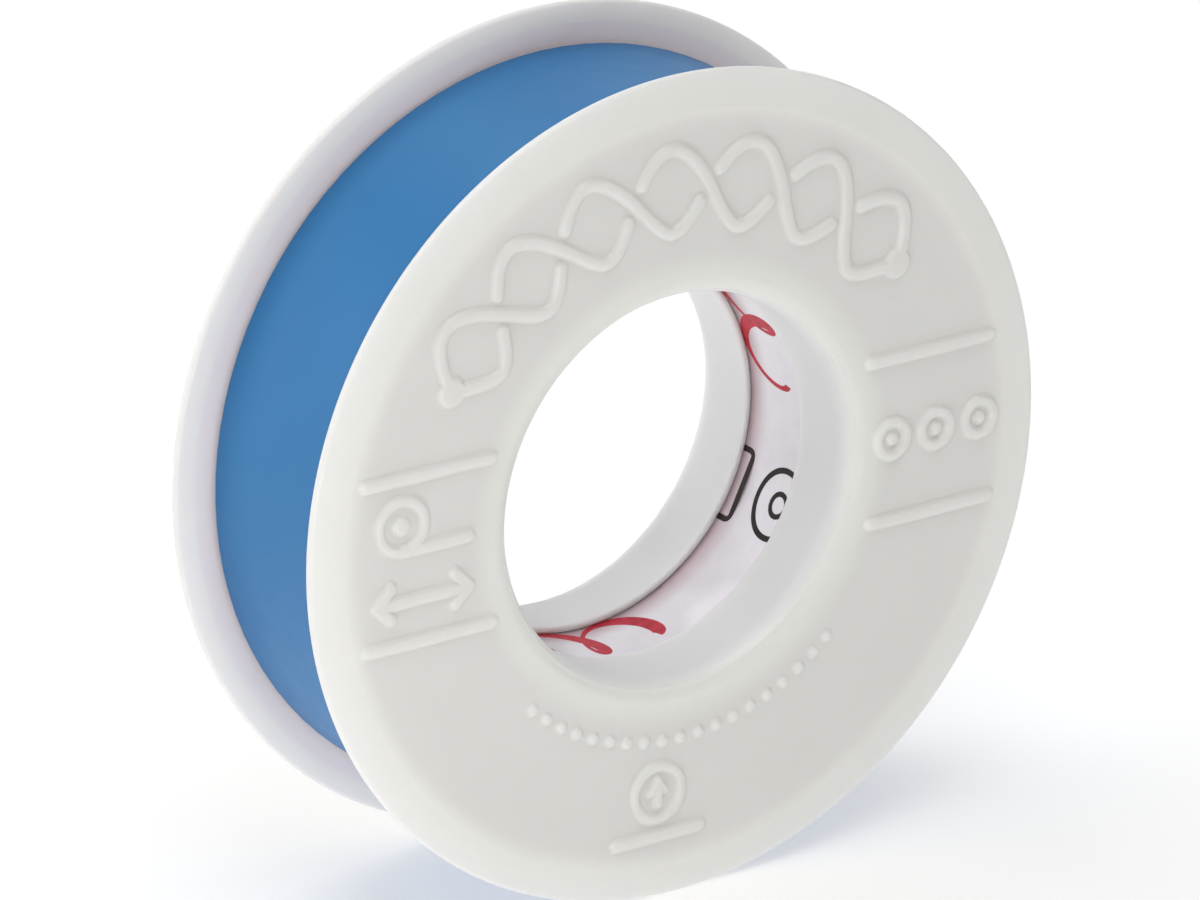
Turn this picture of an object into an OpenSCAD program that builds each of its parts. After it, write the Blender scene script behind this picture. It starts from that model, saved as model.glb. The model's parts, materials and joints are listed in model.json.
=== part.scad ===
// Electrical insulating tape on a two-disc protective spool.
// The spool axis lies along Y with the front disc facing -Y, and the roll stands on its rims.
// The origin is the centre of the bore, midway between the discs. Units are millimetres.

/* [Tape] */
// Width of the tape
tape_width = 15; // [12:1:25]
// Length of tape on a full roll, in metres
tape_length_m = 10; // [5:1:12]
// Thickness of the film with its adhesive
tape_thickness = 0.15; // [0.13:0.01:0.2]
// Outside diameter of the cardboard core that the tape is wound on
core_outer_d = 29.3; // [29.3:0.1:32]
// Where the free end of the tape lies, seen from the front, anticlockwise from the right
free_end_angle = 20; // [-40:1:60]
// Arc of the free end that peels off before the tape is held by the turns
free_end_arc = 35; // [20:1:60]

/* [Core] */
// Thickness of the cardboard tube
core_wall = 0.5; // [0.4:0.05:0.5]
// Thickness of the printed paper that lines the tube
liner_thickness = 0.1; // [0.05:0.01:0.1]

/* [Side discs] */
// Outside diameter of each side disc
disc_d = 58; // [58:0.5:64]
// Thickness of the disc's flat web
disc_thickness = 1.2; // [1.1:0.1:1.6]
// Clearance between the tape's edge and each disc
side_gap = 0.25; // [0.1:0.05:0.5]
// Width of the sloping rim on the outer face
rim_slope_width = 2.5; // [1:0.1:2.5]
// How far the sloping rim falls back
rim_slope_drop = 0.45; // [0.2:0.05:0.5]
// Width of the sloping rim on the inner face
inner_slope_width = 1.4; // [1:0.1:2]
// How far the inner face slopes away from the tape at the rim
inner_slope_drop = 0.15; // [0.05:0.05:0.2]
// Radius of the rim's rounded corners
rim_corner_r = 0.25; // [0.1:0.05:0.3]

/* [Collars] */
// Bore through both collars
bore_d = 27; // [24:0.5:27]
// Thickness of each collar
collar_wall = 0.5; // [0.4:0.05:0.5]
// How far each collar reaches in from its disc's inner face
collar_length = 4.6; // [3:0.1:6]
// Radius of the rounded mouth between the bore and the outer face
mouth_r = 1.5; // [0.8:0.1:1.6]

/* [Relief] */
// Height of the raised marks on each disc
relief_height = 0.3; // [0.1:0.05:0.4]
// Width of a raised line
relief_line = 0.8; // [0.5:0.1:1]
// Distance of the dividing bars from the axis
bar_offset = 5.8; // [5:0.1:6.5]
// Radius of the middle of the twisted-pair band
band_r = 21.3; // [21:0.1:21.8]
// How far each strand swings to either side
band_swing = 2.9; // [2:0.1:3.6]
// Number of half twists along the band
band_half_twists = 7; // [5:1:10]

/* [Hidden] */
$fn = 96;
eps = 0.01;

// Half of the free width between the discs.
inner_face_z = tape_width / 2 + side_gap;
outer_face_z = inner_face_z + disc_thickness;
disc_r = disc_d / 2;
bore_r = bore_d / 2;
// The flat face runs between these radii.
face_in_r = bore_r + mouth_r;
face_out_r = disc_r - rim_slope_width;
collar_r = bore_r + collar_wall;
collar_end_z = inner_face_z - collar_length;
collar_lead_in = 0.15;

core_r = core_outer_d / 2;
core_bore_r = core_r - core_wall;
liner_bore_r = core_bore_r - liner_thickness;

// The wound section equals the strip's own section, which gives the full roll's radius.
tape_r = sqrt(core_r * core_r + tape_length_m * 1000 * tape_thickness / PI);
hinge_angle = free_end_angle - free_end_arc;
// Play under and behind the free end, so that it can lift.
free_end_play = 0.03;
free_end_root_gap = 0.2;
spiral_step = 3;

// Band of relief along the top of the disc, between these angles.
band_from = 36;
band_to = 149;
band_steps = 16;
// From a crossing to the end of the strand that passes under, as a share of a half twist.
crossing_gap = 0.12;
// Radius of the round ends of the band.
band_end_r = 1;
// A dividing bar stops this far from the edges of the flat face.
bar_inset = 0.2;
bar_in = face_in_r + bar_inset;
bar_out = sqrt(pow(face_out_r - bar_inset, 2) - pow(bar_offset + relief_line / 2, 2)) - relief_line / 2;
// Middle of the marks between the dividing bars, to either side of the axis.
marks_x = 20.6;
date_wheel_at = [-2, -21.2];
// Rings are drawn with a finer line.
fine_line = 0.8 * relief_line;

// Points of an arc about c, from angle a to angle b, in n steps.
function arc(c, r, a, b, n) =
    [for (i = [0:n]) let (t = a + (b - a) * i / n) c + r * [cos(t), sin(t)]];

// Turns a body drawn about Z into one about Y, with its outer side towards -Y.
module facing_front() {
    rotate([90, 0, 0]) children();
}

// The same, with its outer side towards +Y.
module facing_rear() {
    rotate([90, 0, 180]) children();
}

// ---- Side discs ----

// Half section of a disc: radius along X, distance from the mid-plane along Y.
module disc_section() {
    mouth_centre = [face_in_r, outer_face_z - mouth_r];
    slope_z = outer_face_z - rim_slope_drop;
    slope_angle = atan(rim_slope_drop / rim_slope_width);
    inner_slope_z = inner_face_z + inner_slope_drop;
    inner_slope_angle = atan(inner_slope_drop / inner_slope_width);
    corner_x = disc_r - rim_corner_r;
    polygon(concat(
        [[bore_r, collar_end_z], [collar_r - collar_lead_in, collar_end_z]],
        [[collar_r, collar_end_z + collar_lead_in], [collar_r, inner_face_z]],
        [[disc_r - inner_slope_width, inner_face_z]],
        arc([corner_x, inner_slope_z + rim_corner_r], rim_corner_r, inner_slope_angle - 90, 0, 4),
        arc([corner_x, slope_z - rim_corner_r], rim_corner_r, 0, 90 - slope_angle, 4),
        [[face_out_r, outer_face_z]],
        arc(mouth_centre, mouth_r, 90, 180, 8)
    ));
}

// Point at a radius and an angle.
function polar(r, a) = r * [cos(a), sin(a)];

// Centre line of one strand of the twisted pair, at share t of its length.
function strand_point(t, side) =
    polar(
        band_r + side * band_swing * sin(180 * band_half_twists * t),
        band_to + (band_from - band_to) * t
    );

// Point beside the centre line, half a line's width off to one hand.
function strand_edge(t, side, hand) =
    let (
        ahead = strand_point(t + 0.001, side) - strand_point(t - 0.001, side),
        across = [-ahead[1], ahead[0]] / norm(ahead)
    )
    strand_point(t, side) + hand * relief_line / 2 * across;

// Stretch of one strand between two shares of its length, as a flat ribbon with round ends.
module stretch(side, from, to) {
    n = ceil((to - from) * band_half_twists * band_steps);
    shares = [for (i = [0:n]) from + (to - from) * i / n];
    polygon(concat(
        [for (t = shares) strand_edge(t, side, 1)],
        [for (i = [n:-1:0]) strand_edge(shares[i], side, -1)]
    ));
    for (t = [from, to])
        translate(strand_point(t, side)) circle(d = relief_line, $fn = 24);
}

// One strand, in stretches that stop short where it passes under the other.
module strand(side) {
    gap = crossing_gap / band_half_twists;
    first = side > 0 ? 2 : 1;
    cuts = [for (k = [first:2:band_half_twists - 1]) k / band_half_twists];
    last = len(cuts);
    for (i = [0:last])
        stretch(side, i == 0 ? 0 : cuts[i - 1] + gap, i == last ? 1 : cuts[i] - gap);
}

// Straight raised line between two points, with round ends.
module line(from, to) {
    run = to - from;
    translate(from) rotate(atan2(run[1], run[0])) translate([0, -relief_line / 2])
        square([norm(run), relief_line]);
    for (end = [from, to])
        translate(end) circle(d = relief_line, $fn = 24);
}

// Raised ring of outer radius r.
module ring(r) {
    difference() {
        circle(r = r, $fn = 48);
        circle(r = r - fine_line, $fn = 48);
    }
}

// Raised ring with a dot in its middle.
module ring_and_dot(r, dot_r) {
    ring(r);
    circle(r = dot_r, $fn = 24);
}

// Coil above a width arrow: a roll of tape and the way its width is measured.
module roll_and_width_marks() {
    coil_r = 2.1;
    coil = [-1.6, 2.5];
    tail = 5.2;
    tip = [3.6, -2.8];
    head = 1.1;
    translate(coil) ring_and_dot(coil_r, 0.6);
    translate([0, relief_line / 2 - coil_r]) line(coil, coil + [tail, 0]);
    line([-tip[0], tip[1]], tip);
    for (side = [-1, 1], up = [-1, 1])
        line([side * tip[0], tip[1]], [side * (tip[0] - head), tip[1] + up * head]);
}

// Sections of three insulated wires in a row.
module wire_marks() {
    pitch = 3.6;
    for (i = [-1:1])
        translate([i * pitch, 0]) ring_and_dot(1.5, 0.4);
}

// Row of dots that follows the bore along the bottom.
module dot_row() {
    count = 19;
    row_r = 17.6;
    first = -133;
    last = -48;
    for (i = [0:count - 1])
        translate(polar(row_r, first + (last - first) * i / (count - 1)))
            circle(d = relief_line, $fn = 24);
}

// Mould-date wheel with its pointer, over a short bar.
module date_wheel() {
    wheel_r = 2.2;
    pointer = 0.8;
    half_bar = 3.4;
    bar_y = -3.1;
    ring(wheel_r);
    line([0, -pointer], [0, pointer]);
    line([-half_bar, bar_y], [half_bar, bar_y]);
}

// All the raised marks of one disc, drawn flat.
module relief_drawing() {
    strand(1);
    strand(-1);
    for (end = [0, 1])
        translate(strand_point(end, 1)) circle(r = band_end_r, $fn = 32);
    for (side = [-1, 1], up = [-1, 1])
        line([side * bar_in, up * bar_offset], [side * bar_out, up * bar_offset]);
    translate([-marks_x, 0]) roll_and_width_marks();
    translate([marks_x, 0]) wire_marks();
    dot_row();
    translate(date_wheel_at) date_wheel();
}

// One moulded disc with its collar and relief, outer side up.
module side_disc() {
    rotate_extrude() disc_section();
    translate([0, 0, outer_face_z - eps])
        linear_extrude(relief_height + eps) relief_drawing();
}

module rear_disc() {
    color([0.84, 0.84, 0.82]) facing_rear() side_disc();
}

module front_disc() {
    color([0.84, 0.84, 0.82]) facing_front() side_disc();
}

// ---- Core ----

// Plain tube about Y, as long as the tape is wide.
module tube(outer_r, inner_r) {
    facing_front() difference() {
        cylinder(r = outer_r, h = tape_width, center = true);
        cylinder(r = inner_r, h = tape_width + 1, center = true);
    }
}

module core_tube() {
    color([0.78, 0.72, 0.62]) tube(core_r, core_bore_r);
}

module printed_liner() {
    color([0.93, 0.92, 0.94]) tube(core_bore_r, liner_bore_r);
}

// ---- Tape ----

// Radius of the wound surface at an angle past the free end, within the last full turn.
function spiral_r(past) = tape_r - tape_thickness * (1 - past / 360);

// Wound turns: the outline is the last turn's spiral, with a step down under the free end.
module tape_winding() {
    held = 360 - free_end_arc;
    outline = concat(
        [for (a = [0:spiral_step:held]) polar(spiral_r(a), free_end_angle + a)],
        [polar(spiral_r(held), hinge_angle)],
        [for (a = [held:spiral_step:360 - eps])
            polar(spiral_r(a) - tape_thickness, free_end_angle + a)]
    );
    color([0.20, 0.42, 0.68]) facing_front() difference() {
        translate([0, 0, -tape_width / 2]) linear_extrude(tape_width) polygon(outline);
        cylinder(r = core_r, h = tape_width + 1, center = true);
    }
}

// Loose end of the strip, lying on the turn below it.
module tape_free_end() {
    root = 360 - free_end_arc + free_end_root_gap / tape_r * 180 / PI;
    steps = 12;
    lift = free_end_play - tape_thickness;
    angles = [for (i = [0:steps]) root + (360 - root) * i / steps];
    color([0.20, 0.42, 0.68]) facing_front()
        translate([0, 0, -tape_width / 2]) linear_extrude(tape_width)
            polygon(concat(
                [for (a = angles) polar(spiral_r(a) + lift, free_end_angle + a)],
                [for (i = [steps:-1:0])
                    polar(spiral_r(angles[i]) + free_end_play, free_end_angle + angles[i])]
            ));
}

rear_disc();
front_disc();
core_tube();
printed_liner();
tape_winding();
tape_free_end();
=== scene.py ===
"""Looks of a roll of electrical tape on a two-disc spool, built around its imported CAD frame.

Shapes are worked out in millimetres, as in the CAD source, and turned into metres as each mesh is made.
A disc is drawn in its own frame: across and up on its outer face, and out from the spool's mid-plane.
"""
import json
import math
from collections import namedtuple

import bmesh
import bpy
import numpy as np
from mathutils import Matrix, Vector, geometry


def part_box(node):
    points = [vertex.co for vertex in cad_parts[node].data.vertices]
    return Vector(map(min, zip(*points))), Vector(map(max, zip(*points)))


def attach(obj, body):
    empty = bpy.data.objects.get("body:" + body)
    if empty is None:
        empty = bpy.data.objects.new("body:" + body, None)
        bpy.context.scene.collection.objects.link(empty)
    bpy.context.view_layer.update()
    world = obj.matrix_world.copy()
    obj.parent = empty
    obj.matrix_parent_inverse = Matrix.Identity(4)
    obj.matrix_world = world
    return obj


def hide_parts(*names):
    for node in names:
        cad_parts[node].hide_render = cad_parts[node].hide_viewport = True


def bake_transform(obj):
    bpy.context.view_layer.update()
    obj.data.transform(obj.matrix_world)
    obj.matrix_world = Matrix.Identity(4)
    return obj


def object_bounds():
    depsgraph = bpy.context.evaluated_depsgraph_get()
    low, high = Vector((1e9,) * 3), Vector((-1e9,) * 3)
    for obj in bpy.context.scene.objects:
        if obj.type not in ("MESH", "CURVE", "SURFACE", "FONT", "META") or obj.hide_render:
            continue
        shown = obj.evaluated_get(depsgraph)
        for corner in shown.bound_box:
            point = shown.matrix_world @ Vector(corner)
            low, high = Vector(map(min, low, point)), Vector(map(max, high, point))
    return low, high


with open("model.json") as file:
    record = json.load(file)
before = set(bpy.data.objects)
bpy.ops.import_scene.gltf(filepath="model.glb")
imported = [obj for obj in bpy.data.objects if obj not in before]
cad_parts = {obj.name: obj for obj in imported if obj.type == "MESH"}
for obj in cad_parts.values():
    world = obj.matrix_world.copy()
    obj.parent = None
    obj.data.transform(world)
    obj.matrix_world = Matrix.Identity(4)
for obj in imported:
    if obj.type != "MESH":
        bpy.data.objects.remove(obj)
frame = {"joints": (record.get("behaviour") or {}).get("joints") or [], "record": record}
cad_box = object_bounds()

MM = 0.001
# A raised or printed line: its points, half its width, and whether it closes on itself.
Stroke = namedtuple("Stroke", "points half closed")

# ---- Sizes, in millimetres ----

record = frame["record"]
bore = next(m for m in record["mounts"] if m["name"] == "spindle_bore")
peel = next(j for j in frame["joints"] if j["name"] == "tape_end_peel")
disc_low, disc_high = (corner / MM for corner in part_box("front_disc"))
core_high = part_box("core_tube")[1] / MM
liner_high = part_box("printed_liner")[1] / MM

DISC_R = disc_high.x
BORE_R = bore["dims"]["r_mm"]
CORE_R = core_high.x
CORE_BORE_R = liner_high.x
TAPE_WIDTH = 2 * core_high.y
HINGE = Vector(peel["pos_m"]) / MM
HINGE_ANGLE = math.atan2(HINGE.z, HINGE.x)

# A disc's heights are measured out from the spool's mid-plane.
RELIEF_HEIGHT = 0.3
FACE = -disc_low.y - RELIEF_HEIGHT
COLLAR_END = -disc_high.y
WEB = 1.2
MOUTH_R = 1.5
COLLAR_WALL = 0.5
# The outer face falls towards the rim, and the inner side slopes away from the tape there.
SLOPE_WIDTH, SLOPE_DROP = 2.5, 0.45
INNER_SLOPE_WIDTH, INNER_SLOPE_DROP = 1.4, 0.15
SLOPE_ANGLE = math.atan(SLOPE_DROP / SLOPE_WIDTH)
INNER_SLOPE_ANGLE = math.atan(INNER_SLOPE_DROP / INNER_SLOPE_WIDTH)
SLOPE_IN_R = DISC_R - SLOPE_WIDTH
INNER_SLOPE_IN_R = DISC_R - INNER_SLOPE_WIDTH
# Roundings: where each slope begins, at the rim, and at the collar's root and tip.
SLOPE_BLEND_R = 1.0
INNER_BLEND_R = 0.3
RIM_CORNER_R = 0.25
ROOT_R = 0.15
TIP_R = 0.15
# The flat, marked part of the outer face.
FACE_IN_R = BORE_R + MOUTH_R
FACE_OUT_R = SLOPE_IN_R - SLOPE_BLEND_R * math.tan(SLOPE_ANGLE / 2)

LINER_THICKNESS = 0.1
LINER_R = CORE_BORE_R - LINER_THICKNESS
# How far the ends of the core and of the liner are eased.
CORE_EASE, LINER_EASE = 0.06, 0.02
TAPE_THICKNESS = 0.15
TAPE_LENGTH = 10000
TAPE_R = math.sqrt(CORE_R**2 + TAPE_LENGTH * TAPE_THICKNESS / math.pi)
# The film is modelled this much of its thickness, so that neighbouring turns stay apart.
FILM_SHARE = 0.94
FREE_END_ANGLE = math.radians(20)

# How far the print stands on the liner, and how far its hidden underside sinks in.
INK_PROUD, INK_SUNK = 0.012, 0.03

# Facets round a disc, and round one turn of tape.
ROUND = 240
TURN_STEPS = 96
# Spacing of the points along a stroke's line, and round its outlines.
LINE_STEP = 0.3
OUTLINE_STEP = 0.25
# Points worked out for each half twist of the pair of wires, and for each wave of the print.
WAVE_POINTS = 60
# Faces that meet at more than this angle are shaded apart.
SHARP_ANGLE = math.radians(50)


# ---- Plane geometry ----


def polar(radius, angle):
    """Points at a radius and an angle in radians."""
    return np.stack([radius * np.cos(angle), radius * np.sin(angle)], -1)


def arc(centre, radius, start, end, steps):
    """Points of an arc between two angles in degrees."""
    return np.array(centre) + polar(radius, np.radians(np.linspace(start, end, steps + 1)))


def circle(centre, radius, count):
    """Points of a circle, each once."""
    return arc(centre, radius, 0, 360, count)[:-1]


def smooth_step(t):
    """A soft rise from 0 to 1 as t goes from 0 to 1."""
    t = np.clip(t, 0, 1)
    return t * t * (3 - 2 * t)


def line(start, end, half):
    """A straight stroke."""
    start, end = np.array(start, float), np.array(end, float)
    count = max(2, math.ceil(np.linalg.norm(end - start) / LINE_STEP) + 1)
    return Stroke(start + np.linspace(0, 1, count)[:, None] * (end - start), half, False)


def ring(centre, radius, half):
    """A stroke that runs round a circle."""
    count = max(12, math.ceil(2 * math.pi * radius / LINE_STEP))
    return Stroke(circle(centre, radius, count), half, True)


def dot(centre, half):
    """A stroke of a single point."""
    return Stroke(np.array([centre], float), half, False)


def sides(stroke, grow=0.0):
    """Points to the left and right of a stroke's line, grow outside its edges."""
    points = stroke.points
    if stroke.closed:
        ahead = np.roll(points, -1, 0) - np.roll(points, 1, 0)
    else:
        ahead = np.gradient(points, axis=0)
    across = np.stack([-ahead[:, 1], ahead[:, 0]], -1) / np.linalg.norm(ahead, axis=1)[:, None]
    reach = (np.zeros(len(points)) + stroke.half + grow)[:, None]
    return points + reach * across, points - reach * across


def cap(end, edge, steps):
    """The half circle about a stroke's end that starts at one of its edge points, without its two ends."""
    arm = edge - end
    turns = np.linspace(0, -math.pi, steps + 1)[1:-1, None]
    return end + np.cos(turns) * arm + np.sin(turns) * np.array([-arm[1], arm[0]])


def outlines(stroke, grow):
    """The closed loops that lie grow outside a stroke's edge."""
    if len(stroke.points) == 1:
        radius = stroke.half + grow
        return [circle(stroke.points[0], radius, max(8, math.ceil(2 * math.pi * radius / OUTLINE_STEP)))]
    left, right = sides(stroke, grow)
    if stroke.closed:
        return [left, right]
    steps = max(4, math.ceil(math.pi * (np.max(stroke.half) + grow) / OUTLINE_STEP))
    far_cap = cap(stroke.points[-1], left[-1], steps)
    near_cap = cap(stroke.points[0], right[0], steps)
    return [np.concatenate([left, far_cap, right[::-1], near_cap])]


def distance_outside(points, strokes):
    """How far each point lies outside the nearest stroke's edge; negative inside it."""
    nearest = np.full(len(points), np.inf)
    for stroke in strokes:
        starts = stroke.points
        ends = np.roll(starts, -1, 0) if stroke.closed or len(starts) == 1 else starts[1:]
        for a, b in zip(starts, ends):
            run = b - a
            share = np.clip((points - a) @ run / max(run @ run, 1e-12), 0, 1)
            away = np.linalg.norm(points - a - share[:, None] * run, axis=1)
            nearest = np.minimum(nearest, away - np.max(stroke.half))
    return nearest


# ---- Mesh helpers ----


def make_piece(name, points, faces, material_used, body=None):
    """A smooth-shaded closed mesh from points in millimetres, riding on a body."""
    mesh = bpy.data.meshes.new(name)
    mesh.from_pydata([tuple(p) for p in np.asarray(points) * MM], [], [list(f) for f in faces])
    edit = bmesh.new()
    edit.from_mesh(mesh)
    bmesh.ops.remove_doubles(edit, verts=edit.verts, dist=1e-4 * MM)
    bmesh.ops.recalc_face_normals(edit, faces=edit.faces)
    for face in edit.faces:
        face.smooth = True
    edit.to_mesh(mesh)
    edit.free()
    mesh.set_sharp_from_angle(angle=SHARP_ANGLE)
    mesh.materials.append(material_used)
    piece = bpy.data.objects.new(name, mesh)
    bpy.context.scene.collection.objects.link(piece)
    if body:
        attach(piece, body)
    return piece


def grid_faces(rows, columns, closed):
    """Quads of a grid of points, given row by row. Each row is a loop, and so are the columns if closed."""
    return [
        [i * columns + j, i * columns + (j + 1) % columns, k * columns + (j + 1) % columns, k * columns + j]
        for i in range(rows if closed else rows - 1)
        for k in [(i + 1) % rows]
        for j in range(columns)
    ]


def end_faces(rows, columns):
    """The two faces that close the first and the last row of such a grid."""
    last = (rows - 1) * columns
    return [list(range(columns)), list(range(last, last + columns))]


def moved_on(faces, count):
    """The same faces for points that come after count others."""
    return [[i + count for i in face] for face in faces]


def lathe(section, closed):
    """Points and faces of a section, given as radius and distance along the axis, turned about the axis."""
    angles = np.arange(ROUND) * 2 * math.pi / ROUND
    flat = polar(section[:, 0, None], angles[None, :])
    along = np.broadcast_to(section[:, 1, None, None], flat.shape[:2] + (1,))
    points = np.concatenate([flat, along], -1).reshape(-1, 3)
    return points, grid_faces(len(section), ROUND, closed)


# ---- Material helpers ----


def material(name, colour, roughness, **sockets):
    """A Principled material and its nodes, to be detailed further."""
    made = bpy.data.materials.new(name)
    made.use_nodes = True
    shader = made.node_tree.nodes["Principled BSDF"]
    shader.inputs["Base Color"].default_value = (*colour, 1)
    shader.inputs["Roughness"].default_value = roughness
    for socket, value in sockets.items():
        shader.inputs[socket.replace("_", " ")].default_value = value
    return made, made.node_tree, shader


def own_place(tree):
    """A point's place in the object's own coordinates, in metres."""
    return tree.nodes.new("ShaderNodeTexCoord").outputs["Object"]


def noise(tree, scale, detail, roughness=0.5, stretch=(1, 1, 1)):
    """Noise with features about 1/scale metres long."""
    spread = tree.nodes.new("ShaderNodeMapping")
    spread.inputs["Scale"].default_value = stretch
    grain = tree.nodes.new("ShaderNodeTexNoise")
    grain.inputs["Scale"].default_value = scale
    grain.inputs["Detail"].default_value = detail
    grain.inputs["Roughness"].default_value = roughness
    tree.links.new(own_place(tree), spread.inputs["Vector"])
    tree.links.new(spread.outputs["Vector"], grain.inputs["Vector"])
    return grain.outputs["Fac"]


def ramp(tree, factor, low, high, start=0.3, end=0.7):
    """A colour or grey that goes from low to high as factor goes from start to end."""
    node = tree.nodes.new("ShaderNodeValToRGB")
    for stop, place, value in zip(node.color_ramp.elements, (start, end), (low, high)):
        stop.position = place
        stop.color = (*value, 1) if isinstance(value, tuple) else (value, value, value, 1)
    tree.links.new(factor, node.inputs["Fac"])
    return node.outputs["Color"]


def worked_out(tree, operation, *values):
    """A number worked out from others."""
    node = tree.nodes.new("ShaderNodeMath")
    node.operation = operation
    for value, socket in zip(values, node.inputs):
        tree.links.new(value, socket)
    return node.outputs["Value"]


def along_axis(tree):
    """Distance along the spool's axis, towards the rear disc."""
    split = tree.nodes.new("ShaderNodeSeparateXYZ")
    tree.links.new(own_place(tree), split.inputs["Vector"])
    return split.outputs["Y"]


def part_way(tree, value, start, end):
    """A smooth rise from 0 to 1 as value goes from start to end, which are in millimetres."""
    node = tree.nodes.new("ShaderNodeMapRange")
    node.interpolation_type = "SMOOTHSTEP"
    node.inputs["From Min"].default_value = start * MM
    node.inputs["From Max"].default_value = end * MM
    tree.links.new(value, node.inputs["Value"])
    return node.outputs["Result"]


def tinted(tree, colour, tint):
    """A colour multiplied by a tint."""
    node = tree.nodes.new("ShaderNodeVectorMath")
    node.operation = "MULTIPLY"
    tree.links.new(colour, node.inputs[0])
    tree.links.new(tint, node.inputs[1])
    return node.outputs["Vector"]


def by_radius(tree, stops):
    """A colour that depends on the distance from the spool's axis, from stops of millimetres and colour."""
    flat = tree.nodes.new("ShaderNodeVectorMath")
    flat.operation = "MULTIPLY"
    flat.inputs[1].default_value = (1, 0, 1)
    length = tree.nodes.new("ShaderNodeVectorMath")
    length.operation = "LENGTH"
    tree.links.new(own_place(tree), flat.inputs[0])
    tree.links.new(flat.outputs["Vector"], length.inputs[0])
    share = tree.nodes.new("ShaderNodeMapRange")
    share.inputs["From Max"].default_value = DISC_R * MM
    tree.links.new(length.outputs["Value"], share.inputs["Value"])
    node = tree.nodes.new("ShaderNodeValToRGB")
    node.color_ramp.interpolation = "EASE"
    elements = node.color_ramp.elements
    while len(elements) < len(stops):
        elements.new(1)
    for element, (radius, colour) in zip(elements, stops):
        element.position = radius / DISC_R
        element.color = (*colour, 1)
    tree.links.new(share.outputs["Result"], node.inputs["Fac"])
    return node.outputs["Color"]


def bump(tree, shader, height, distance):
    """Fine relief of the given height in metres."""
    node = tree.nodes.new("ShaderNodeBump")
    node.inputs["Distance"].default_value = distance
    tree.links.new(height, node.inputs["Height"])
    tree.links.new(node.outputs["Normal"], shader.inputs["Normal"])


# ---- Materials ----


def disc_plastic():
    """White plastic that lets some light through."""
    made, tree, shader = material("disc_plastic", (0.925, 0.91, 0.88), 0.42, Subsurface_Weight=0.85, IOR=1.49)
    shader.inputs["Subsurface Radius"].default_value = (1.0, 0.94, 0.84)
    shader.inputs["Subsurface Scale"].default_value = 2 * MM
    cloud = ramp(tree, noise(tree, 90, detail=2), (0.92, 0.905, 0.87), (0.94, 0.925, 0.89))
    # Painted light and shade by radius: creamier round the mouth and a little creamier again at the rim,
    # where light comes through the thin plastic, and greyer over the blue tape, where the tape behind shades
    # it.
    plain, cream, grey, rim = (1, 1, 1), (0.995, 0.995, 0.94), (0.895, 0.89, 0.88), (0.955, 0.95, 0.925)
    painted_light_by_radius = by_radius(tree, [
        (BORE_R, plain), (BORE_R + 0.7, cream), (FACE_IN_R, cream),
        (FACE_IN_R + 2, grey), (TAPE_R - 1, grey), (TAPE_R + 0.2, rim),
    ])
    # Painted reflection of the blue tape: its inner side is tinted lilac from the tape's edge outwards,
    # fainter where that side slopes away.
    none, full, faint = (0, 0, 0), (1, 1, 1), (0.4, 0.4, 0.4)
    painted_reflection_band = by_radius(tree, [
        (TAPE_R - 1.5, none), (TAPE_R, full), (INNER_SLOPE_IN_R - 0.3, full), (INNER_SLOPE_IN_R + 0.3, faint),
    ])
    # The middle of the web parts that side from the outer face.
    from_mid_plane = worked_out(tree, "ABSOLUTE", along_axis(tree))
    inner_side = part_way(tree, from_mid_plane, FACE - 0.7, FACE - 0.9)
    painted_reflection_share = worked_out(tree, "MULTIPLY", painted_reflection_band, inner_side)
    # The tape's painted reflection, as a lilac tint on the inner side.
    lilac = ramp(tree, painted_reflection_share, (1.0, 1.0, 1.0), (1.0, 0.93, 0.995), start=0, end=1)
    tree.links.new(tinted(tree, tinted(tree, cloud, painted_light_by_radius), lilac), shader.inputs["Base Color"])
    grain = noise(tree, 1400, detail=4, roughness=0.6)
    tree.links.new(ramp(tree, grain, 0.37, 0.47), shader.inputs["Roughness"])
    bump(tree, shader, grain, 0.006 * MM)
    return made


def tape_film():
    """Blue PVC film with a dull sheen."""
    made, tree, shader = material("tape_film", (0.031, 0.19, 0.44), 0.42, IOR=1.5, Specular_IOR_Level=0.25)
    cloud = noise(tree, 70, detail=1)
    tree.links.new(ramp(tree, cloud, (0.027, 0.18, 0.425), (0.035, 0.20, 0.465)), shader.inputs["Base Color"])
    grain = noise(tree, 500, detail=1)
    tree.links.new(ramp(tree, grain, 0.40, 0.45), shader.inputs["Roughness"])
    bump(tree, shader, grain, 0.003 * MM)
    return made


def core_card():
    """Brown cardboard, with fibres that are short along the axis."""
    made, tree, shader = material("core_card", (0.55, 0.45, 0.33), 0.85)
    fibres = noise(tree, 700, detail=6, roughness=0.7, stretch=(1, 4, 1))
    tree.links.new(ramp(tree, fibres, (0.44, 0.35, 0.25), (0.62, 0.52, 0.39)), shader.inputs["Base Color"])
    bump(tree, shader, fibres, 0.03 * MM)
    return made


def liner_paper():
    """Coated, faintly lilac paper."""
    coat = {"Coat_Weight": 0.3, "Coat_Roughness": 0.15}
    made, tree, shader = material("liner_paper", (0.86, 0.855, 0.87), 0.28, **coat)
    fibres = noise(tree, 500, detail=5, roughness=0.65)
    paper = ramp(tree, fibres, (0.72, 0.705, 0.755), (0.78, 0.765, 0.81))
    # Painted shade next to the rear collar, with a reddish brown painted bounce: the paper darkens more and
    # more between these places along the axis.
    painted_shade_start, painted_shade_end = 0.9, 3.1
    painted_shade_share = part_way(tree, along_axis(tree), painted_shade_start, painted_shade_end)
    painted_shade = ramp(tree, painted_shade_share, (1.0, 1.0, 1.0), (0.74, 0.60, 0.62), start=0, end=1)
    tree.links.new(tinted(tree, paper, painted_shade), shader.inputs["Base Color"])
    bump(tree, shader, fibres, 0.006 * MM)
    return made


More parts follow.
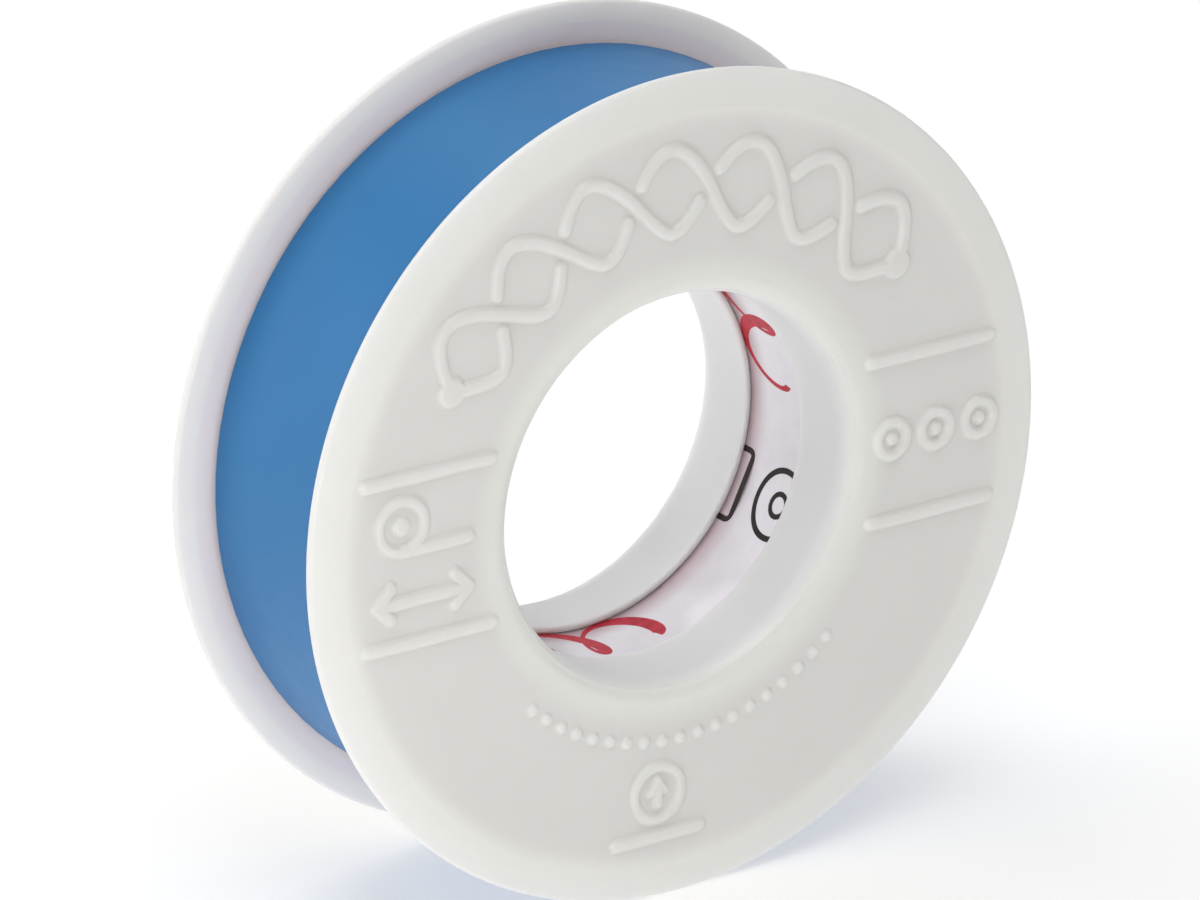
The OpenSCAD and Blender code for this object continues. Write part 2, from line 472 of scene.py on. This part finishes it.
def print_ink(name, dark, light):
    """Ink that is a little blotchy."""
    made, tree, shader = material(name, light, 0.5, Specular_IOR_Level=0.3)
    blotch = noise(tree, 1500, detail=4)
    tree.links.new(ramp(tree, blotch, dark, light), shader.inputs["Base Color"])
    return made


# ---- Side discs ----

# A raised mark's edge is soft: it rises from this far outside its outline to this far inside.
MARK_EDGE = 0.17
# Outlines that the mesh follows across that edge, the first two on the flat face.
MARK_LEVELS = (0.30, 0.17, 0.10, 0.035, -0.035, -0.10, -0.17)
# Half the width of a common and of a fine stroke.
LINE_HALF = 0.42
FINE_HALF = 0.33

# Four bars, two on each side of the bore: across, from just past the mouth to just short of the slope.
BAR_UP = 5.8
BAR_GAP_IN, BAR_GAP_OUT = 0.2, 0.05
BAR_IN = FACE_IN_R + BAR_GAP_IN
BAR_OUT = math.sqrt((FACE_OUT_R - LINE_HALF - MARK_LEVELS[0]) ** 2 - BAR_UP**2) - BAR_GAP_OUT
# The marks between the bars are this far from the axis.
MARKS_X = 20.6
# The middle of the mould-date wheel.
WHEEL_AT = (-2, -21.2)
# The twisted pair along the top.
BAND_R = 21.3
BAND_SWING = 2.9
BAND_HALF_TWISTS = 7
BAND_FROM, BAND_TO = math.radians(149), math.radians(36)
BAND_END_R = 1.0
# From a crossing to the middle of the lower wire's round end.
CROSSING_GAP = 1.3


def strand(side):
    """One wire of the twisted pair, in stretches that stop short where it passes under the other."""
    count = WAVE_POINTS * BAND_HALF_TWISTS
    share = np.linspace(0, 1, count + 1)
    twist = math.pi * BAND_HALF_TWISTS * share
    path = polar(BAND_R + side * BAND_SWING * np.sin(twist), BAND_FROM + (BAND_TO - BAND_FROM) * share)
    along = np.concatenate([[0], np.cumsum(np.linalg.norm(np.diff(path, axis=0), axis=1))])
    passes_under = range(2 if side > 0 else 1, BAND_HALF_TWISTS, 2)
    cuts = [along[count * crossing // BAND_HALF_TWISTS] for crossing in passes_under]
    starts = [0] + [cut + CROSSING_GAP for cut in cuts]
    ends = [cut - CROSSING_GAP for cut in cuts] + [along[-1]]
    for start, end in zip(starts, ends):
        places = np.linspace(start, end, math.ceil((end - start) / OUTLINE_STEP))
        points = np.stack([np.interp(places, along, path[:, axis]) for axis in (0, 1)], -1)
        yield Stroke(points, LINE_HALF, False)


def twisted_pair():
    """Both wires, with a round end where they meet."""
    ends = [dot(polar(BAND_R, angle), BAND_END_R) for angle in (BAND_FROM, BAND_TO)]
    return [*strand(1), *strand(-1), *ends]


def bars():
    """The four bars."""
    return [
        line((side * BAR_IN, up * BAR_UP), (side * BAR_OUT, up * BAR_UP), LINE_HALF)
        for side in (-1, 1)
        for up in (-1, 1)
    ]


def roll_and_width_marks(at):
    """A coil with its tail, above a width arrow."""
    coil_r, hub_r, tail, head = 1.78, 0.6, 5.2, 1.1
    coil = at + (-1.6, 2.5)
    tip = np.array([3.6, 0])
    middle = at + (0, -2.8)
    low = coil - (0, coil_r)
    marks = [ring(coil, coil_r, FINE_HALF), dot(coil, hub_r), line(low, low + (tail, 0), LINE_HALF)]
    marks.append(line(middle - tip, middle + tip, LINE_HALF))
    for side in (-1, 1):
        for up in (-head, head):
            marks.append(line(middle + side * tip, middle + (side * (tip[0] - head), up), LINE_HALF))
    return marks


def wire_marks(at):
    """Three insulated wires, cut across."""
    pitch, sheath_r, wire_r = 3.6, 1.2, 0.42
    return [
        mark
        for step in (-pitch, 0, pitch)
        for mark in (ring(at + (step, 0), sheath_r, FINE_HALF), dot(at + (step, 0), wire_r))
    ]


def dot_row():
    """Dots that follow the bore along the bottom."""
    row_r, dot_r, count = 17.6, 0.38, 19
    angles = np.radians(np.linspace(-133, -48, count))
    return [dot(place, dot_r) for place in polar(row_r, angles)]


def date_wheel(at):
    """A mould-date wheel with its pointer, over a short bar."""
    wheel_r, head_half = 1.9, 0.28
    tail, tip, barb = (0, -0.75), (0, 0.85), (0.55, 0.1)
    bar_half, bar_down = 3.4, 3.1
    marks = [ring(at, wheel_r, FINE_HALF), line(at + tail, at + tip, FINE_HALF)]
    marks += [line(at + tip, at + (side * barb[0], barb[1]), head_half) for side in (-1, 1)]
    return marks + [line(at + (-bar_half, -bar_down), at + (bar_half, -bar_down), LINE_HALF)]


def relief():
    """All the raised marks of a disc's face."""
    across = np.array([MARKS_X, 0])
    beside_bore = roll_and_width_marks(-across) + wire_marks(across)
    below_bore = dot_row() + date_wheel(np.array(WHEEL_AT))
    return twisted_pair() + bars() + beside_bore + below_bore


def marked_face():
    """Points and faces of the flat part of a disc's outer face, with its raised marks."""
    marks = relief()
    loops = [outline for mark in marks for level in MARK_LEVELS for outline in outlines(mark, level)]
    loops += [circle((0, 0), radius, ROUND) for radius in (FACE_IN_R, FACE_OUT_R)]
    # Rings of plain points, each turned a little further, keep the faces between the marks small.
    rings, ring_points, turned = 8, 90, 2
    plain = np.concatenate([
        arc((0, 0), radius, turned * row, 360 + turned * row, ring_points)[:-1]
        for row, radius in enumerate(np.linspace(FACE_IN_R, FACE_OUT_R, rings + 2)[1:-1])
    ])
    plain = plain[distance_outside(plain, marks) > 2 * MARK_LEVELS[0]]
    points = np.concatenate(loops + [plain])
    edges, start = [], 0
    for loop in loops:
        count = len(loop)
        edges += [(start + i, start + (i + 1) % count) for i in range(count)]
        start += count
    weld = 2e-3
    flat, _, faces, *_ = geometry.delaunay_2d_cdt([Vector(p) for p in points], edges, [], 0, weld)
    flat = np.array([tuple(p) for p in flat])
    middles = np.array([flat[list(face)].mean(0) for face in faces])
    away = np.linalg.norm(middles, axis=1)
    kept = (away > FACE_IN_R * math.cos(math.pi / ROUND)) & (away < FACE_OUT_R)
    faces = [face for face, keep in zip(faces, kept) if keep]
    rise = smooth_step((MARK_EDGE - distance_outside(flat, marks)) / (2 * MARK_EDGE))
    return np.column_stack([flat, FACE + RELIEF_HEIGHT * rise]), faces


def disc_section():
    """The rest of a disc's half section, from the marked face round the rim and the collar and back."""
    inner = FACE - WEB
    slope, inner_slope = math.degrees(SLOPE_ANGLE), math.degrees(INNER_SLOPE_ANGLE)
    rim_x = DISC_R - RIM_CORNER_R
    # How far the two slopes run before the rim's corners, and the heights of those corners' centres.
    top_run = rim_x + RIM_CORNER_R * math.sin(SLOPE_ANGLE) - SLOPE_IN_R
    low_run = rim_x + RIM_CORNER_R * math.sin(INNER_SLOPE_ANGLE) - INNER_SLOPE_IN_R
    rim_top = FACE - math.tan(SLOPE_ANGLE) * top_run - RIM_CORNER_R * math.cos(SLOPE_ANGLE)
    rim_low = inner + math.tan(INNER_SLOPE_ANGLE) * low_run + RIM_CORNER_R * math.cos(INNER_SLOPE_ANGLE)
    inner_blend_x = INNER_SLOPE_IN_R - INNER_BLEND_R * math.tan(INNER_SLOPE_ANGLE / 2)
    collar_r = BORE_R + COLLAR_WALL
    mouth = arc((FACE_IN_R, FACE - MOUTH_R), MOUTH_R, 180, 90, 16)
    # A fine witness line of the mould runs round the mouth, where one point stands proud of the arc.
    witness, witness_height, outwards = 9, 0.07, np.array([-0.6, 0.8])
    mouth[witness] += witness_height * outwards
    parts = [
        arc((FACE_OUT_R, FACE - SLOPE_BLEND_R), SLOPE_BLEND_R, 90, 90 - slope, 4),
        arc((rim_x, rim_top), RIM_CORNER_R, 90 - slope, 0, 5),
        arc((rim_x, rim_low), RIM_CORNER_R, 0, inner_slope - 90, 5),
        arc((inner_blend_x, inner + INNER_BLEND_R), INNER_BLEND_R, inner_slope - 90, -90, 4),
        [(inner_blend_x - 1, inner), (collar_r + 3 * ROOT_R, inner)],
        arc((collar_r + ROOT_R, inner - ROOT_R), ROOT_R, 90, 180, 4),
        [(collar_r, inner - 4 * ROOT_R), (collar_r, COLLAR_END + 4 * TIP_R)],
        arc((collar_r - TIP_R, COLLAR_END + TIP_R), TIP_R, 0, -90, 3),
        arc((BORE_R + TIP_R, COLLAR_END + TIP_R), TIP_R, -90, -180, 3),
        [(BORE_R, COLLAR_END + 4 * TIP_R), (BORE_R, FACE - 1.2 * MOUTH_R)],
        mouth,
    ]
    return np.concatenate(parts)


def side_disc(name, material_used, front):
    """One moulded disc. Both discs are the same moulding, turned to face away from each other."""
    rest, rest_faces = lathe(disc_section(), closed=False)
    marked, marked_faces = marked_face()
    across, up, out = np.concatenate([rest, marked]).T
    turned = np.stack([across, -out, up] if front else [-across, out, up], -1)
    faces = rest_faces + moved_on(marked_faces, len(rest))
    node = "front_disc" if front else "rear_disc"
    piece = make_piece(name, turned, faces, material_used, body=node)
    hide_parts(node)


# ---- Tape ----


def film_section(inner_r, shift):
    """A strip's cross-section at each place: radius and distance along the axis, with eased edges."""
    # Points close to the edges on the outer side keep its wide part flat in the shading.
    ease, support = 0.035, 0.2
    half = TAPE_WIDTH / 2
    thickness = TAPE_THICKNESS * FILM_SHARE
    low, high = inner_r, inner_r + thickness
    lower_edge, upper_edge = low + 0.3 * thickness, low + 0.7 * thickness
    loop = [
        (low, ease - half), (lower_edge, -half), (upper_edge, -half), (high, ease - half),
        (high, support - half), (high, half - support),
        (high, half - ease), (upper_edge, half), (lower_edge, half), (low, half - ease),
    ]
    radius = np.stack([np.broadcast_to(r, inner_r.shape) for r, _ in loop], -1)
    along = np.stack([shift + y for _, y in loop], -1)
    return radius, along


def wound_strip(name, inner_r, angle, shift, material_used, body):
    """A strip of film that follows the given radii and angles round the axis."""
    radius, along = film_section(inner_r, shift)
    points = np.stack([radius * np.cos(angle)[:, None], along, radius * np.sin(angle)[:, None]], -1)
    faces = grid_faces(*radius.shape, closed=False) + end_faces(*radius.shape)
    return make_piece(name, points.reshape(-1, 3), faces, material_used, body)


def inner_radius(angle):
    """Radius of the film's underside where it lies: one thickness less with each turn back from its end."""
    return TAPE_R - TAPE_THICKNESS * (1 + (FREE_END_ANGLE - angle) / (2 * math.pi))


def wander(angle):
    """How far the film strays along the axis, a little differently from turn to turn."""
    turn = angle / (2 * math.pi)
    # Size, radians per turn, and start.
    waves = [(0.035, 1.7, 0), (0.02, 5.3, 1), (0.015, 0.37 * 2 * math.pi, 0)]
    return sum(size * np.sin(rate * turn + start) for size, rate, start in waves)


def tape_winding(material_used):
    """The wound strip, from the core out to where the free end begins."""
    arc_of_free_end = (FREE_END_ANGLE - HINGE_ANGLE) / (2 * math.pi)
    turns = (TAPE_R - CORE_R) / TAPE_THICKNESS - 1 - arc_of_free_end
    # The same places in each turn, so that the facets of neighbouring turns don't cut each other.
    steps = np.arange(-math.floor(turns * TURN_STEPS), 1)
    angle = HINGE_ANGLE + steps * 2 * math.pi / TURN_STEPS
    piece = wound_strip("tape_strip", inner_radius(angle), angle, wander(angle), material_used, "tape_roll")
    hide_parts("tape_winding")


def tape_free_end(material_used):
    """The last stretch of the strip, from the peel hinge to its end, as it lies at rest."""
    # Its tip stands a hair off the turn below.
    steps, tip_lift = 60, 0.02
    angle = np.linspace(HINGE_ANGLE, FREE_END_ANGLE, steps)
    lift = np.linspace(0, tip_lift, steps)
    piece = wound_strip("free_end", inner_radius(angle) + lift, angle, wander(angle), material_used, None)
    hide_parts("tape_free_end")
    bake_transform(piece)


# ---- Core and liner ----


def tube_section(inner_r, outer_r, half, ease):
    """A tube's half section with eased ends."""
    return np.array([
        (inner_r, ease - half), (inner_r + ease, -half), (outer_r - ease, -half), (outer_r, ease - half),
        (outer_r, half - ease), (outer_r - ease, half), (inner_r + ease, half), (inner_r, half - ease),
    ])


def turned_tube(name, inner_r, outer_r, ease, material_used):
    """A tube as wide as the tape."""
    points, faces = lathe(tube_section(inner_r, outer_r, TAPE_WIDTH / 2, ease), closed=True)
    across, up, out = points.T
    return make_piece(name, np.stack([across, -out, up], -1), faces, material_used, "tape_roll")


def core_tube(material_used):
    """The cardboard tube that the tape is wound on."""
    piece = turned_tube("cardboard_core", CORE_BORE_R, CORE_R, CORE_EASE, material_used)
    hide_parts("core_tube")


def printed_liner(material_used):
    """The paper inside the core, without its print."""
    piece = turned_tube("paper_liner", LINER_R, CORE_BORE_R, LINER_EASE, material_used)
    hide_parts("printed_liner")


# ---- Print on the liner ----


def ink(name, strokes, material_used):
    """Thin printed strokes on the liner, drawn as distance round it from the right, and along the axis."""
    points, faces, count = [], [], 0
    for stroke in strokes:
        left, right = sides(stroke)
        corners = [
            (left, LINER_R - INK_PROUD), (right, LINER_R - INK_PROUD),
            (right, LINER_R + INK_SUNK), (left, LINER_R + INK_SUNK),
        ]
        bent = []
        for edge, radius in corners:
            angle = edge[:, 0] / LINER_R
            bent.append(np.stack([radius * np.cos(angle), edge[:, 1], radius * np.sin(angle)], -1))
        rows, columns = len(left), len(corners)
        skin = grid_faces(rows, columns, stroke.closed)
        if not stroke.closed:
            skin += end_faces(rows, columns)
        points.append(np.stack(bent, 1).reshape(-1, 3))
        faces += moved_on(skin, count)
        count += rows * columns
    piece = make_piece(name, np.concatenate(points), faces, material_used, "tape_roll")


def round_liner(degrees):
    """Distance round the liner at an angle."""
    return math.radians(degrees) * LINER_R


def red_wave(first, last, waves):
    """A looping line between two angles, broad on every other stroke."""
    lean, middle, reach = 1.3, 0.9, 2.1
    thin_half, growth = 0.16, 0.36
    share = np.linspace(0, 1, WAVE_POINTS * waves)
    swing = 2 * math.pi * waves * share
    start, end = round_liner(first), round_liner(last)
    round_it = start + (end - start) * share + lean * np.sin(swing)
    along = middle - reach * np.cos(swing)
    half = thin_half + growth * smooth_step(0.5 + 0.5 * np.sin(swing))
    return Stroke(np.stack([round_it, along], -1), half, False)


def rounded_rectangle(centre, half_x, half_y, corner, half):
    """A stroke that runs round a box with rounded corners."""
    corners = [(1, 1, 0), (-1, 1, 90), (-1, -1, 180), (1, -1, 270)]
    reach = np.array([half_x - corner, half_y - corner])
    points = [
        arc(np.array(centre) + (sx, sy) * reach, corner, turn, turn + 90, 5)
        for sx, sy, turn in corners
    ]
    return Stroke(np.concatenate(points), half, True)


def liner_print():
    """Red waves in three places, and a black box and rings in one."""
    red = print_ink("red_ink", (0.40, 0.012, 0.03), (0.58, 0.03, 0.06))
    ink("red_print", [red_wave(62, 8, 3), red_wave(-76, -130, 3), red_wave(210, 156, 3)], red)
    black = print_ink("black_ink", (0.008, 0.004, 0.004), (0.022, 0.010, 0.009))
    marks_at = round_liner(-26)
    rings_at = (marks_at, -2.0)
    box = rounded_rectangle((marks_at, 3.6), half_x=2.5, half_y=1.5, corner=0.4, half=0.21)
    rings = [ring(rings_at, radius=2.4, half=0.21), ring(rings_at, radius=0.8, half=0.19)]
    ink("black_print", [box, *rings], black)


# ---- Stage ----


def aimed_light(name, kind, at, energy):
    """A light that points at the middle of the spool."""
    light = bpy.data.lights.new(name, kind)
    light.energy = energy
    placed = bpy.data.objects.new(name, light)
    placed.location = at
    placed.rotation_euler = (-Vector(at)).to_track_quat("-Z", "Y").to_euler()
    placed.visible_camera = False
    bpy.context.scene.collection.objects.link(placed)
    return light


def area_light(name, at, energy, size):
    """A square softbox."""
    aimed_light(name, "AREA", at, energy).size = size


def spot_light(name, at, energy, radius, cone):
    """A spot that fades right from the middle of its cone, so that it draws no edge on the floor."""
    light = aimed_light(name, "SPOT", at, energy)
    light.shadow_soft_size, light.spot_size, light.spot_blend = radius, cone, 1.0


def pale_floor():
    """The floor that the roll stands on."""
    half = 2.0
    mesh = bpy.data.meshes.new("floor")
    z = cad_box[0][2]
    corners = [(-half, -half, z), (half, -half, z), (half, half, z), (-half, half, z)]
    mesh.from_pydata(corners, [], [(0, 1, 2, 3)])
    # A floor that glows a little stays white, and its shadows stay faint.
    made, _, shader = material("floor", (0.55, 0.55, 0.55), 0.9, Emission_Strength=0.52)
    shader.inputs["Emission Color"].default_value = (1, 1, 1, 1)
    mesh.materials.append(made)
    floor = bpy.data.objects.new("floor", mesh)
    bpy.context.scene.collection.objects.link(floor)


def studio_light():
    """Plain soft light from all sides, with a small spot close by on the left."""
    world = bpy.data.worlds.new("studio")
    world.use_nodes = True
    sky = world.node_tree.nodes["Background"]
    sky.inputs["Color"].default_value = (1, 1, 1, 1)
    sky.inputs["Strength"].default_value = 0.08
    bpy.context.scene.world = world
    # Places in metres, then watts, then sizes in metres.
    area_light("front_top_softbox", (-0.2, -0.6, 1.8), 14.8, 1.2)
    area_light("front_softbox", (0, -1.0, 1.6), 3.5, 1.2)
    spot_light("near_left_spot", (-0.13, -0.12, -0.018), 0.36, 0.03, math.radians(60))
    area_light("back_top_softbox", (-0.15, 0.35, 0.75), 2.0, 0.5)
    area_light("back_right_softbox", (0.35, 0.65, 0.45), 1.5, 0.8)
    area_light("back_left_softbox", (-0.5, 0.4, 0.25), 1.3, 0.5)
    bpy.context.scene.view_settings.view_transform = "Standard"


def camera():
    """A long lens at the photograph's viewing angle."""
    azimuth, elevation = math.radians(-34.153), math.radians(21.487)
    distance, shift_right, shift_up = 0.7042, -0.00045, 0.00002
    back = Vector((
        math.sin(azimuth) * math.cos(elevation),
        -math.cos(azimuth) * math.cos(elevation),
        math.sin(elevation),
    ))
    right = (-back).cross(Vector((0, 0, 1))).normalized()
    up = right.cross(-back)
    data = bpy.data.cameras.new("camera")
    data.sensor_width, data.lens = 36, 316.3
    data.clip_start, data.clip_end = 0.01, 20
    placed = bpy.data.objects.new("camera", data)
    placed.location = back * distance + right * shift_right + up * shift_up
    placed.rotation_euler = (-back).to_track_quat("-Z", "Y").to_euler()
    bpy.context.scene.collection.objects.link(placed)
    bpy.context.scene.camera = placed


camera()
pale_floor()
studio_light()

plastic = disc_plastic()
side_disc("front_moulding", plastic, front=True)
side_disc("rear_moulding", plastic, front=False)

film = tape_film()
tape_winding(film)
tape_free_end(film)

core_tube(core_card())
printed_liner(liner_paper())
liner_print()
